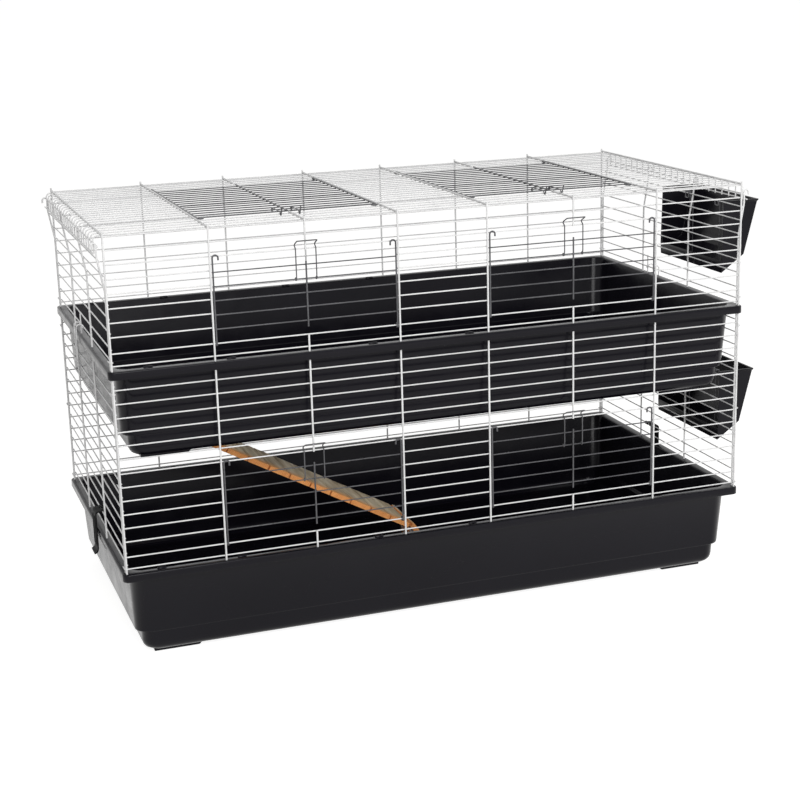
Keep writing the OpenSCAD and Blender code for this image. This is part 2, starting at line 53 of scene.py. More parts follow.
# Driving dimensions, in mm, as in the CAD
tray_low, tray_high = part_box("base_tray")
CENTRE = Vector(((tray_low.x + tray_high.x) / 2, (tray_low.y + tray_high.y) / 2, 0))
HALF_L = (tray_high.x - tray_low.x) / 2 / MM
HALF_W = (tray_high.y - tray_low.y) / 2 / MM
BASE_LIP = 170.0
MID_LIP = 529.0
ROOF_Z = 758.5
TRAY_DEEP = 160.5
FOOT_DROP = 9.5
WALL = 2.6
SKIRT = 14.0
UPRIGHT_D = 3.4
CROSS_D = 2.4
ROD_D = 3.0
BAR_D = 2.2
LATCH_D = 2.2
GAP = 0.05
PITCH = 24.4
BAY = 166.75
UPRIGHT_Y = HALF_W - 7
ROW_Y = UPRIGHT_Y - (UPRIGHT_D + CROSS_D) / 2 - GAP
UPRIGHT_X = HALF_L - 7
ROW_X = UPRIGHT_X - (UPRIGHT_D + CROSS_D) / 2 - GAP
CORNER_X = HALF_L - 7.5
UPRIGHTS_X = [-CORNER_X] + [BAY * k for k in (-2.5, -1.5, -0.5, 0.5, 1.5, 2.5)] + [CORNER_X]
ENDS_Y = (-285, -95, 95, 285)
HINGE_H = 29.5
FIRST_ROW = 57.2
END_RISE = 6.0
ROD_Y = UPRIGHT_Y + 0.2
BAR_Y = ROD_Y - (ROD_D + BAR_D) / 2 - GAP
DOOR_X = 1.5 * BAY
DOOR_HALF = BAY - 4.5
ROOF_PITCH = 25.0
CRANK = 9.9
CRANK_LOW = ROOF_Z - 96.5
CRANK_HIGH = ROOF_Z - 38.5
RACK_X = HALF_L + 1.5
RACK_OUT = 71.5
RACK_LENGTH = 240.0
RACK_MIDDLE_Y = -92.0
RACK_WALL = 2.2
BAR_X = -HALF_L + 116
RAMP_Y = 5.0
RAMP_WIDTH = 130.0
SLAT_T = 10.0
CLIP_WIDTH = 34.0
CLIP_DROP = 71.5
RAMP_BAR_Z = MID_LIP - TRAY_DEEP + WALL + GAP + 2

TO_ROW = Matrix.Translation(CENTRE) @ Matrix.Scale(MM, 4)


def crank_at(z):
    """How far the upper end panels lean out at the height z."""
    return CRANK * min(1, max(0, (z - CRANK_LOW) / (CRANK_HIGH - CRANK_LOW)))


def row(x, y, z):
    """A point given in mm around the trays' middle, in the row frame's metres."""
    return TO_ROW @ Vector((x, y, z))


# Materials
class Nodes:
    """A material's node tree with its Principled shader and texture coordinates at hand."""

    def __init__(self, name):
        self.material = bpy.data.materials.new(name)
        self.material.use_nodes = True
        self.tree = self.material.node_tree
        self.shader = self.tree.nodes["Principled BSDF"]
        self.coords = self.add("ShaderNodeTexCoord")

    def add(self, kind, **inputs):
        """A new node with some of its inputs set."""
        node = self.tree.nodes.new(kind)
        for key, value in inputs.items():
            node.inputs[key.replace("_", " ")].default_value = value
        return node

    def link(self, out, into):
        """Joins one socket to another."""
        self.tree.links.new(out, into)

    def set(self, **inputs):
        """Sets the shader's own sockets."""
        for key, value in inputs.items():
            self.shader.inputs[key.replace("_", " ")].default_value = value

    def noise(self, scale, detail=3.0, stretch=(1, 1, 1), turn=(0, 0, 0), distortion=0.0):
        """Noise over the object's metres, stretched and turned; returns its value socket."""
        mapping = self.add("ShaderNodeMapping", Scale=stretch, Rotation=turn)
        self.link(self.coords.outputs["Object"], mapping.inputs["Vector"])
        texture = self.add("ShaderNodeTexNoise", Scale=scale, Detail=detail, Distortion=distortion)
        self.link(mapping.outputs["Vector"], texture.inputs["Vector"])
        return texture.outputs["Fac"]

    def ramp(self, value, *stops):
        """Colours at places along a value."""
        node = self.add("ShaderNodeValToRGB")
        bar = node.color_ramp
        bar.elements[0].position, bar.elements[0].color = stops[0][0], (*stops[0][1], 1)
        bar.elements[1].position, bar.elements[1].color = stops[-1][0], (*stops[-1][1], 1)
        for place, colour in stops[1:-1]:
            bar.elements.new(place).color = (*colour, 1)
        self.link(value, node.inputs["Fac"])
        return node.outputs["Color"]

    def span(self, value, low, high, start=0.3, end=0.7):
        """A value brought from start..end to low..high."""
        node = self.add("ShaderNodeMapRange")
        node.inputs["From Min"].default_value = start
        node.inputs["From Max"].default_value = end
        node.inputs["To Min"].default_value = low
        node.inputs["To Max"].default_value = high
        self.link(value, node.inputs["Value"])
        return node.outputs["Result"]

    def mix(self, how, factor, first, second):
        """Two colours mixed; each argument is a value or a socket."""
        node = self.add("ShaderNodeMix")
        node.data_type = "RGBA"
        node.blend_type = how
        into = (node.inputs["Factor"], node.inputs[6], node.inputs[7])
        for socket, value in zip(into, (factor, first, second)):
            if isinstance(value, bpy.types.NodeSocket):
                self.link(value, socket)
            else:
                socket.default_value = value
        return node.outputs[2]

    def bump(self, *layers):
        """Bumps stacked from (height, distance in metres, strength), onto the shader's normal."""
        normal = None
        for height, distance, strength in layers:
            node = self.add("ShaderNodeBump", Distance=distance, Strength=strength)
            self.link(height, node.inputs["Height"])
            if normal:
                self.link(normal, node.inputs["Normal"])
            normal = node.outputs["Normal"]
        self.link(normal, self.shader.inputs["Normal"])


def moulded_plastic():
    """Black polypropylene: satin gloss, with weak sink waves, a fine grain and faint scuffs."""
    m = Nodes("moulded_plastic")
    cloud = m.noise(3.5, 4)
    scuffs = m.noise(24, 6, distortion=0.6)
    colour = m.ramp(cloud, (0.3, (0.0036, 0.0032, 0.0056)), (0.7, (0.0056, 0.0051, 0.0082)))
    m.link(colour, m.shader.inputs["Base Color"])
    m.link(m.span(scuffs, 0.17, 0.27), m.shader.inputs["Roughness"])
    m.set(IOR=1.5, Specular_IOR_Level=0.15)
    m.bump((m.noise(5, 2), 0.0025, 0.08), (m.noise(1500, 2), 0.00005, 0.2))
    return m.material


def clip_plastic():
    """The levers' matt black nylon, with a fine spark-eroded grain."""
    m = Nodes("clip_plastic")
    tone = m.noise(40, 4)
    colour = m.ramp(tone, (0.3, (0.004, 0.004, 0.0043)), (0.7, (0.007, 0.007, 0.0074)))
    m.link(colour, m.shader.inputs["Base Color"])
    m.link(m.span(m.noise(90, 4), 0.5, 0.62), m.shader.inputs["Roughness"])
    m.set(IOR=1.45, Specular_IOR_Level=0.1)
    m.bump((m.noise(1800, 3), 0.00006, 0.4))
    return m.material


def coated_wire(name, dark, light, roughness, grain=0.3, coat=0.35):
    """Dip-coated steel wire: small differences in tone along it and a slightly uneven coat."""
    m = Nodes(name)
    tone = m.noise(26, 4)
    m.link(m.ramp(tone, (0.35, dark), (0.62, light)), m.shader.inputs["Base Color"])
    m.link(m.span(m.noise(60, 3), roughness - 0.06, roughness + 0.08), m.shader.inputs["Roughness"])
    m.set(IOR=1.5, Coat_Weight=coat, Coat_Roughness=0.2)
    m.bump((m.noise(420, 3), 0.00015, grain))
    return m.material


def slat_wood():
    """Top of the planks: weathered grey tan, grain along each plank, fresh orange near the front ends."""
    m = Nodes("slat_wood")
    grain = m.noise(70, 8, stretch=(1, 0.1, 1), distortion=0.5)
    patch = m.noise(18, 4, stretch=(1, 0.5, 1))
    fibres = m.ramp(grain, (0.28, (0.42, 0.34, 0.24)), (0.48, (0.72, 0.62, 0.47)), (0.66, (0.95, 0.88, 0.74)))
    tint = m.ramp(patch, (0.3, (0.78, 0.72, 0.62)), (0.52, (0.95, 0.9, 0.8)), (0.72, (1.0, 0.86, 0.66)))
    place = m.add("ShaderNodeSeparateXYZ")
    m.link(m.coords.outputs["Object"], place.inputs[0])
    near_end = (RAMP_Y - RAMP_WIDTH / 2 + CENTRE.y / MM) * MM
    fresh = m.span(place.outputs["Y"], 1.0, 0.0, near_end + 0.002, near_end + 0.035)
    weathered = m.mix("MULTIPLY", 1.0, fibres, tint)
    m.link(m.mix("MIX", fresh, weathered, (0.86, 0.44, 0.16, 1)), m.shader.inputs["Base Color"])
    m.link(m.span(grain, 0.78, 0.6), m.shader.inputs["Roughness"])
    m.set(Specular_IOR_Level=0.25)
    m.bump((grain, 0.0007, 0.5), (m.noise(700, 3, stretch=(1, 0.15, 1)), 0.0002, 0.4))
    return m.material


def slat_end_wood():
    """Sawn ends and sides of the planks: fresh orange with growth rings."""
    m = Nodes("slat_end_wood")
    rings = m.add("ShaderNodeTexWave", Scale=95.0, Distortion=5.0, Detail=3.0, Detail_Scale=2.2)
    rings.wave_type = "RINGS"
    rings.rings_direction = "Y"
    m.link(m.coords.outputs["Object"], rings.inputs["Vector"])
    patch = m.noise(34, 4)
    base = m.ramp(rings.outputs["Fac"], (0.15, (0.78, 0.3, 0.09)), (0.85, (0.96, 0.46, 0.17)))
    tint = m.ramp(patch, (0.32, (0.84, 0.76, 0.7)), (0.65, (1.0, 1.0, 1.0)))
    m.link(m.mix("MULTIPLY", 1.0, base, tint), m.shader.inputs["Base Color"])
    m.set(Roughness=0.7, Specular_IOR_Level=0.25)
    m.bump((m.noise(260, 5), 0.0006, 0.5))
    return m.material


PLASTIC = moulded_plastic()
CLIP_PLASTIC = clip_plastic()
WHITE_WIRE = coated_wire("white_coated_wire", (0.666, 0.666, 0.67), (0.747, 0.747, 0.747), 0.34)
CLIP_WIRE = coated_wire("clip_coated_wire", (0.66, 0.66, 0.67), (0.78, 0.78, 0.78), 0.28)
DARK_WIRE = coated_wire("dark_coated_wire", (0.045, 0.045, 0.05), (0.075, 0.075, 0.082), 0.3, 0.35, 0.2)
WOOD_TOP = slat_wood()
WOOD_END = slat_end_wood()


# Mesh building, in mm
def piece(name, bm, body, materials, nodes=(), sharp=40):
    """Turns a bmesh in mm into an object that rides on a body and may stand for CAD nodes."""
    bmesh.ops.recalc_face_normals(bm, faces=bm.faces)
    bm.transform(TO_ROW)
    mesh = bpy.data.meshes.new(name)
    bm.to_mesh(mesh)
    bm.free()
    mesh.polygons.foreach_set("use_smooth", [True] * len(mesh.polygons))
    mesh.set_sharp_from_angle(angle=math.radians(sharp))
    for material in materials:
        mesh.materials.append(material)
    obj = bpy.data.objects.new(name, mesh)
    bpy.context.collection.objects.link(obj)
    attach(obj, body)
    if nodes:
        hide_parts(*nodes)
    return obj


def soften(obj, width, segments=3, angle=30):
    """Rounds an object's sharp edges by a width in mm."""
    bevel = obj.modifiers.new("soft_edges", "BEVEL")
    bevel.width = width * MM
    bevel.segments = segments
    bevel.limit_method = "ANGLE"
    bevel.angle_limit = math.radians(angle)
    bevel.harden_normals = False
    return obj


def loft(bm, rings, closed=False):
    """Skins rings of equal length; closed joins the last ring to the first, open gives flat ends."""
    made = [[bm.verts.new(p) for p in ring] for ring in rings]
    count = len(made[0])
    pairs = list(zip(made, made[1:]))
    if closed:
        pairs.append((made[-1], made[0]))
    for low, high in pairs:
        for k in range(count):
            j = (k + 1) % count
            bm.faces.new((low[k], high[k], high[j], low[j]))
    if not closed:
        bm.faces.new(made[0])
        bm.faces.new(list(reversed(made[-1])))
    return made


def tube(bm, points, d, sides=10):
    """A round wire along points, its ends cut with a small chamfer."""
    points = [Vector(p) for p in points]
    r = d / 2
    start = (points[1] - points[0]).normalized()
    end = (points[-1] - points[-2]).normalized()
    first = [points[0], points[0] + start * 0.35 * r]
    last = [points[-1] - end * 0.35 * r, points[-1]]
    path = first + points[1:-1] + last
    radii = [0.6 * r] + [r] * (len(path) - 2) + [0.6 * r]
    side = start.orthogonal().normalized()
    rings = []
    for i, (p, radius) in enumerate(zip(path, radii)):
        before = (p - path[i - 1]).normalized() if i else start
        after = (path[i + 1] - p).normalized() if i < len(path) - 1 else end
        along = (before + after).normalized()
        side = (side - along * side.dot(along)).normalized()
        across = along.cross(side)
        turns = [k * (2 * math.pi / sides) for k in range(sides)]
        rings.append([p + radius * (math.cos(a) * side + math.sin(a) * across) for a in turns])
    loft(bm, rings)


def rod(bm, a, b, d, sides=12):
    """A straight wire."""
    tube(bm, [a, b], d, sides)


def bend(points, r, n=4):
    """Rounds a path's inner corners over the length r with n steps each."""
    points = [Vector(p) for p in points]
    out = [points[0]]
    for before, corner, after in zip(points, points[1:], points[2:]):
        a = corner + (before - corner).normalized() * r
        b = corner + (after - corner).normalized() * r
        for k in range(n + 1):
            s = k / n
            out.append(a * (1 - s) ** 2 + corner * 2 * s * (1 - s) + b * s**2)
    return out + [points[-1]]


def coil(centre, axis_sign, radius, start, turns=1.0, rise=0.0, n=14):
    """Points of a loop round an X axis at centre, from the angle start, in the YZ plane."""
    out = []
    for k in range(n + 1):
        a = start + 2 * math.pi * turns * k / n
        x = centre[0] + axis_sign * rise * k / n
        out.append(Vector((x, centre[1] + radius * math.cos(a), centre[2] + radius * math.sin(a))))
    return out


def bead(bm, at, size):
    """A small smooth blob of coating, its three radii in mm."""
    bmesh.ops.create_icosphere(
        bm, subdivisions=1, radius=1.0, matrix=Matrix.Translation(at) @ Matrix.Diagonal((*size, 1))
    )


# Trays
def ring(half_x, half_y, r, z, n=10, centre=(0, 0)):
    """Points of a rounded rectangle at height z."""
    out = []
    for q, (sx, sy) in enumerate(((1, 1), (-1, 1), (-1, -1), (1, -1))):
        for k in range(n + 1):
            a = math.pi / 2 * (q + k / n)
            x = sx * (half_x - r) + r * math.cos(a)
            y = sy * (half_y - r) + r * math.sin(a)
            out.append(Vector((centre[0] + x, centre[1] + y, z)))
    return out


def tray_rings(lip, t=WALL):
    """Sections of the moulding from the outside of its floor, over the lip, to the inside of its floor."""
    b = lip - TRAY_DEEP
    foot_curve = [
        (52, 46, 20, 0),
        (46.5, 40.5, 21, 0.6),
        (42, 36, 22, 2.5),
        (38, 32, 23, 5.4),
        (35, 29, 24, 9.4),
    ]
    rings = [ring(HALF_L - x, HALF_W - y, r, b + z) for x, y, r, z in foot_curve]
    rings += [
        ring(HALF_L - 33.3, HALF_W - 27.3, 24.7, b + 14.5),
        ring(HALF_L - 32.5, HALF_W - 26.5, 25, b + 20),
        ring(HALF_L - 31.5, HALF_W - 25.5, 25, b + 38.6),
        ring(HALF_L - 31, HALF_W - 25.45, 25.2, b + 39.4),
        ring(HALF_L - 29.6, HALF_W - 25.4, 25.4, b + 39.8),
        ring(HALF_L - 22.6, HALF_W - 25.3, 26, b + 40.2),
        ring(HALF_L - 21.2, HALF_W - 25.1, 26, b + 41),
        ring(HALF_L - 20.8, HALF_W - 24.8, 26, b + 43),
        ring(HALF_L - 14.6, HALF_W - 15.6, 27, lip - t - 2.4),
        ring(HALF_L - 13.4, HALF_W - 14, 27, lip - t - 0.5),
        ring(HALF_L - 11.5, HALF_W - 12, 26, lip - t),
        ring(HALF_L - t, HALF_W - t, 10, lip - t),
        ring(HALF_L - t, HALF_W - t, 10, lip - SKIRT + 0.4),
        ring(HALF_L - t + 0.5, HALF_W - t + 0.5, 10.5, lip - SKIRT),
        ring(HALF_L - 0.5, HALF_W - 0.5, 11.5, lip - SKIRT),
        ring(HALF_L, HALF_W, 12, lip - SKIRT + 0.5),
        ring(HALF_L - 0.2, HALF_W - 0.2, 12, lip - 2.2),
        ring(HALF_L - 0.5, HALF_W - 0.5, 12, lip - 0.9),
        ring(HALF_L - 1.2, HALF_W - 1.2, 12, lip - 0.25),
        ring(HALF_L - 2.2, HALF_W - 2.2, 12, lip),
        ring(HALF_L - 12.5 - t, HALF_W - 13 - t, 25, lip),
        ring(HALF_L - 13.3 - t, HALF_W - 13.8 - t, 24.8, lip - 0.4),
        ring(HALF_L - 13.9 - t, HALF_W - 14.5 - t, 24.5, lip - 1.8),
        ring(HALF_L - 20.6 - t, HALF_W - 25 - t, 24, b + 43.4),
        ring(HALF_L - 21.4 - t, HALF_W - 25.3 - t, 24, b + 41.6),
        ring(HALF_L - 23 - t, HALF_W - 25.4 - t, 23.6, b + 41),
        ring(HALF_L - 30 - t, HALF_W - 25.5 - t, 23, b + 40.6),
        ring(HALF_L - 31.4 - t, HALF_W - 25.6 - t, 23, b + 40),
        ring(HALF_L - 31.8 - t, HALF_W - 25.7 - t, 22.8, b + 38.6),
        ring(HALF_L - 32.5 - t, HALF_W - 26.5 - t, 22.5, b + 20.5),
    ]
    inner_curve = [
        (33.3, 27.3, 22.2, 15.5),
        (35, 29, 21.5, 11),
        (38, 32, 20.5, 7.4),
        (42, 36, 19.5, 4.9),
        (47, 41, 18.5, 3.1),
    ]
    rings += [ring(HALF_L - x - t, HALF_W - y - t, r, b + z) for x, y, r, z in inner_curve]
    rings.append(ring(HALF_L - 53 - t, HALF_W - 47 - t, 17.5, b + t))
    return rings


HOLE_MIDDLE = (BAR_X + 89, RAMP_Y)
HOLE_HALF = (95, RAMP_WIDTH / 2 + 15)
HOLE_CORNER = 9
HOLE_SOFT = 0.8
HOLE_FLARE = 0.7


def hole_ring(flare, z):
    """Edge of the ramp's opening at height z, widened by a flare."""
    return ring(HOLE_HALF[0] + flare, HOLE_HALF[1] + flare, HOLE_CORNER + flare, z, centre=HOLE_MIDDLE)


def tray(name, lip, body, node, hole=False):
    """The moulded tray, the middle one with the ramp's opening in its floor."""
    bm = bmesh.new()
    rings = tray_rings(lip)
    b = lip - TRAY_DEEP
    if hole:
        under = [hole_ring(0, b + HOLE_SOFT), hole_ring(HOLE_FLARE, b)]
        over = [hole_ring(HOLE_FLARE, b + WALL), hole_ring(0, b + (WALL - HOLE_SOFT))]
        loft(bm, under + rings + over, closed=True)
    else:
        loft(bm, rings)
    return piece(name, bm, body, [PLASTIC], [node], sharp=50)


def trapezoid_block(bm, corners, y0, y1):
    """A block between two heights along Y whose section is given by X and Z corners."""
    ends = [[bm.verts.new((x, y, z)) for x, z in corners] for y in (y0, y1)]
    count = len(corners)
    for k in range(count):
        j = (k + 1) % count
        bm.faces.new((ends[0][k], ends[0][j], ends[1][j], ends[1][k]))
    bm.faces.new(list(reversed(ends[0])))
    bm.faces.new(ends[1])


FOOT_SOLE = (54, 136)
FOOT_LENGTH = 100
FOOT_TOP = 1.2


def tray_feet(name, lip, body):
    """Four long feet, moulded under the floor's corners."""
    bm = bmesh.new()
    b = lip - TRAY_DEEP
    for sx in (-1, 1):
        section = [
            (HALF_L - FOOT_SOLE[1] - 10, FOOT_TOP),
            (HALF_L - FOOT_SOLE[1], -FOOT_DROP),
            (HALF_L - FOOT_SOLE[0], -FOOT_DROP),
            (HALF_L - FOOT_SOLE[0] + 1, FOOT_TOP),
        ]
        for y0 in (-HALF_W + 53, HALF_W - 53 - FOOT_LENGTH):
            trapezoid_block(bm, [(sx * x, b + z) for x, z in section], y0, y0 + FOOT_LENGTH)
    return soften(piece(name, bm, body, [PLASTIC], sharp=50), 1.6)


NUB_BAYS = (-3.18, -2.32, -0.79, 0.3)
NUB_HALF = 8
NUB_INSET = 15.4
NUB_D = 6


def lip_nubs(name, lip, body):
    """Small ridges on the long lips that keep the panels in their place."""
    bm = bmesh.new()
    for x in (BAY * k for k in NUB_BAYS):
        for sy in (-1, 1):
            y = sy * (HALF_W - NUB_INSET)
            rod(bm, (x - NUB_HALF, y, lip - 0.6), (x + NUB_HALF, y, lip - 0.6), NUB_D, 16)
    return piece(name, bm, body, [PLASTIC], sharp=60)


tray("base_tray_shell", BASE_LIP, "base", "base_tray")
tray_feet("base_tray_feet", BASE_LIP, "base")
lip_nubs("base_tray_nubs", BASE_LIP, "base")
tray("middle_tray_shell", MID_LIP, "middle_tray", "middle_tray", hole=True)
tray_feet("middle_tray_feet", MID_LIP, "middle_tray")
lip_nubs("middle_tray_nubs", MID_LIP, "middle_tray")


# Wire panels: the CAD wires stay, with a bead of coating over each weld
def panel_rows(count):
    """Heights of a panel's cross wires above its lip."""
    return [8, HINGE_H] + [FIRST_ROW + PITCH * k for k in range(count)]


def weld_beads(name, body, spots, size, material):
    """One piece of all the beads on a panel or door."""
    bm = bmesh.new()
    for spot in spots:
        bead(bm, Vector(spot), size)
    return piece(name, bm, body, [material], sharp=180)


DOOR_ROWS = (50, 170)
DOOR_MIDDLES = (2, 5)


def long_side_spots(lip, count, y, doors):
    """Crossings of a long side, leaving out the door openings' wires."""
    spots = []
    for i, x in enumerate(UPRIGHTS_X):
        for h in panel_rows(count):
            if doors and i in DOOR_MIDDLES and DOOR_ROWS[0] < h < DOOR_ROWS[1]:
                continue
            spots.append((x, y, lip + h))
    return spots


def end_spots(s, lip, count):
    """Crossings of the end panel on the side s."""
    spots = []
    for y in ENDS_Y:
        for h in panel_rows(count):
            z = lip + h + END_RISE
            spots.append((s * ((UPRIGHT_X + ROW_X) / 2 + crank_at(z) + 0.3), y, z))
    return spots


WELD_Y = (UPRIGHT_Y + ROW_Y) / 2 + 0.3
FLAT_Y = (2.3, 1.9, 1.9)
FLAT_X = (1.9, 2.3, 1.9)
# Each storey's lip, and the cross wires above the hinge wire in its long sides and in its ends
STOREYS = {"lower": (BASE_LIP, 13, 12), "upper": (MID_LIP, 7, 7)}
for storey, (lip, side_rows, end_rows) in STOREYS.items():
    cage = f"{storey}_cage"
    for side, y in (("front", -WELD_Y), ("rear", WELD_Y)):
        spots = long_side_spots(lip, side_rows, y, side == "front")
        weld_beads(f"{storey}_{side}_welds", cage, spots, FLAT_Y, WHITE_WIRE)
    for side, s in (("left", -1), ("right", 1)):
        spots = end_spots(s, lip, end_rows)
        weld_beads(f"{storey}_{side}_welds", cage, spots, FLAT_X, WHITE_WIRE)


ROOF_ROWS = range(-11, 12)
ROOF_DOOR_ROWS = range(-7, 8)


def roof_spots():
    """Crossings of the roof, leaving out the door openings' wires."""
    spots = []
    for i, x in enumerate(UPRIGHTS_X):
        for k in ROOF_ROWS:
            if i in DOOR_MIDDLES and k in ROOF_DOOR_ROWS:
                continue
            spots.append((x, ROOF_PITCH * k, ROOF_Z - 1.9))
    return spots


weld_beads("roof_welds", "upper_cage", roof_spots(), (2.2, 2.0, 1.5), WHITE_WIRE)

for lip, storey in ((BASE_LIP, "lower"), (MID_LIP, "upper")):
    for side, c in (("left", -DOOR_X), ("right", DOOR_X)):
        spots = []
        for x in (c - DOOR_HALF, c, c + DOOR_HALF):
            for k in range(5):
                spots.append((x, -(ROD_Y + BAR_Y) / 2 - 0.3, lip + FIRST_ROW - 3 + PITCH * k))
        name = f"{storey}_door_{side}"
        weld_beads(name + "_welds", name, spots, (2.0, 1.6, 1.7), DARK_WIRE)
for side, c in (("left", -DOOR_X), ("right", DOOR_X)):
    spots = []
    for x in (c - DOOR_HALF, c, c + DOOR_HALF):
        for k in ROOF_DOOR_ROWS:
            spots.append((x, ROOF_PITCH * k, ROOF_Z + 0.2 - 1.5))
    name = f"roof_door_{side}"
    weld_beads(name + "_welds", name, spots, (2.0, 1.7, 1.5), DARK_WIRE)


# Door latches
BAIL_OUT = 14.0


def bail_points(half, reach):
    """The latch's wire round the pivot bar at the origin: outwards is -Y and up along the door is +Z."""
    loop_r = BAR_D / 2 + 0.08 + LATCH_D / 2
    leg = [(loop_r + 0.6, 1.2), (4.0, 5.5), (4.0, reach + 1.1), (-3.4, reach + 5.8), (-0.6, reach + 8.4)]
    top = (BAIL_OUT, reach + 15.6)
    left = [Vector((-half, -d, h)) for d, h in leg + [top]]
    right = [Vector((half, -d, h)) for d, h in leg + [top]]
    eye_left = coil((-half - 1.2, 0, 0), 1, loop_r, math.radians(200), -1.06, 1.2)
    eye_right = coil((half + 1.2, 0, 0), -1, loop_r, math.radians(200), -1.06, 1.2)
    middle = bend(left + list(reversed(right)), 2.0, 4)
    return eye_left + middle + list(reversed(eye_right))


def latch(name, half, reach, turn, body):
    """A door's wire latch, turned into place."""
    bm = bmesh.new()
    tube(bm, [turn(p) for p in bail_points(half, reach)], LATCH_D, 10)
    return piece(name, bm, body, [DARK_WIRE], [body], sharp=60)


def front_turn(c, lip):
    """Puts a latch on a front door whose middle is at c."""
    pivot = Vector((c, -BAR_Y, lip + FIRST_ROW - 3 + 3 * PITCH))
    return lambda p: pivot + p


def roof_turn(c):
    """Puts a latch on a roof door whose middle is at c."""
    pivot = Vector((c, -6 * ROOF_PITCH, ROOF_Z + 0.2 - (ROD_D + BAR_D) / 2 - GAP))
    return lambda p: pivot + Vector((-p.x, -p.z, -p.y))


for side, c in (("left", -DOOR_X), ("right", DOOR_X)):
    for storey, lip in (("lower", BASE_LIP), ("upper", MID_LIP)):
        body = f"{storey}_latch_{side}"
        latch(body + "_wire", 18, 2 * PITCH + 3, front_turn(c, lip), body)
    latch(f"roof_latch_{side}_wire", 17, 2 * ROOF_PITCH, roof_turn(c), f"roof_latch_{side}")


# Clips at the trays' ends
def base_clip(name, s, y0, body):
    """Moulded lever with a barrel round the panel's wire and a curled tail."""
    axis_z = BASE_LIP + HINGE_H + END_RISE
    low = -CLIP_DROP
    bm = bmesh.new()
    outer = [
        (0, 0, 1.3),
        (10.5, 0, 1.3),
        (14.2, 0, -2.6),
        (14.2, 0, low),
        (16, 0, low - 5),
        (20.5, 0, low - 7.5),
    ]
    inner = [
        (20.5, 0, low - 9.9),
        (14.4, 0, low - 7.2),
        (11.8, 0, low - 0.6),
        (11.8, 0, -3.4),
        (9.4, 0, -1.1),
        (0, 0, -1.1),
    ]
    outer, inner = bend(outer, 2.0, 3), bend(inner, 2.0, 3)
    section = [(s * (ROW_X + p.x), axis_z + p.z) for p in outer + inner]
    trapezoid_block(bm, section, y0, y0 + CLIP_WIDTH)
    lever = piece(name + "_lever", bm, body, [CLIP_PLASTIC], [body], sharp=40)
    soften(lever, 0.7, 2, 50)
    bm = bmesh.new()
    centre_x = s * ROW_X
    for y in (y0 + 1, y0 + CLIP_WIDTH - 13):
        rings = []
        for dy, r in ((0, 2.7), (0.7, 3.4), (11.3, 3.4), (12, 2.7)):
            rings.append(
                [
                    Vector((centre_x + r * math.cos(a), y + dy, axis_z + r * math.sin(a)))
                    for a in (2 * math.pi * k / 20 for k in range(20))
                ]
            )
        loft(bm, rings)
    for y in (y0 + 7, y0 + CLIP_WIDTH - 7):
        root, crest = s * (ROW_X + 13.8), s * (ROW_X + 15.6)
        rib = [(root, axis_z - 6), (crest, axis_z - 10), (crest, axis_z + low + 6), (root, axis_z + low + 1)]
        trapezoid_block(bm, rib, y - 1.2, y + 1.2)
    barrel = piece(name + "_barrel", bm, body, [CLIP_PLASTIC], sharp=40)
    soften(barrel, 0.4, 2, 60)


BASE_CLIP_Y = {"left": -30, "right": 52}
TRAY_CLIP_Y = {"left": 30, "right": 56}
base_clip("base_clip_left", -1, BASE_CLIP_Y["left"] - CLIP_WIDTH / 2, "base_clip_left")
base_clip("base_clip_right", 1, BASE_CLIP_Y["right"] - CLIP_WIDTH / 2, "base_clip_right")


def turned_loop(x, y, z, r, wire_side, s, n=14):
    """A loop round a wire along Y, ending towards the leg on the side s."""
    return [
        Vector((x + s * r * math.cos(a), y + wire_side * 2.0 * (1 - k / n), z + r * math.sin(a)))
        for k, a in ((k, math.radians(-150 + 230 * k / n)) for k in range(n + 1))
    ]


def tray_clip(name, s, y0, body):
    """White wire bail on the panel's bottom wire, its legs drawn together outside the middle tray's lip."""
    x, z = s * ROW_X, MID_LIP + 8 + END_RISE
    r = CROSS_D / 2 + 0.08 + LATCH_D / 2
    wide, narrow = 12, 5
    leg = [
        (8, 4.5, wide),
        (13, 1, wide),
        (13, -3, wide),
        (13, -54, narrow),
        (13, -58, narrow),
        (15.5, -63.5, narrow),
        (20, -62, narrow),
    ]
    near = [Vector((x + s * d, y0 - y, z + h)) for d, h, y in leg]
    far = [Vector((x + s * d, y0 + y, z + h)) for d, h, y in leg]
    middle = bend(near + list(reversed(far)), 1.6, 4)
    near_loop = turned_loop(x, y0 - wide, z, r, -1, s)
    far_loop = turned_loop(x, y0 + wide, z, r, 1, s)
    path = near_loop + middle + list(reversed(far_loop))
    bm = bmesh.new()
    tube(bm, path, LATCH_D, 10)
    return piece(name, bm, body, [CLIP_WIRE], [body], sharp=60)


tray_clip("tray_clip_left_wire", -1, TRAY_CLIP_Y["left"], "tray_clip_left")
tray_clip("tray_clip_right_wire", 1, TRAY_CLIP_Y["right"], "tray_clip_right")


# Hay racks
RACK_BACK = 115
RACK_DEEP = 135
RACK_KNEE = (44.5, 104)
RACK_RIM_X = RACK_X + 75
RACK_RIM_OUT = 3.5
RACK_HOOKS_Y = (-84.5, -200)
RACK_HOOK_LEG = 126


def rack_row(lip, k):
    """Height of the end panel's cross wire that a rack hangs from."""
    return lip + FIRST_ROW + END_RISE + PITCH * k


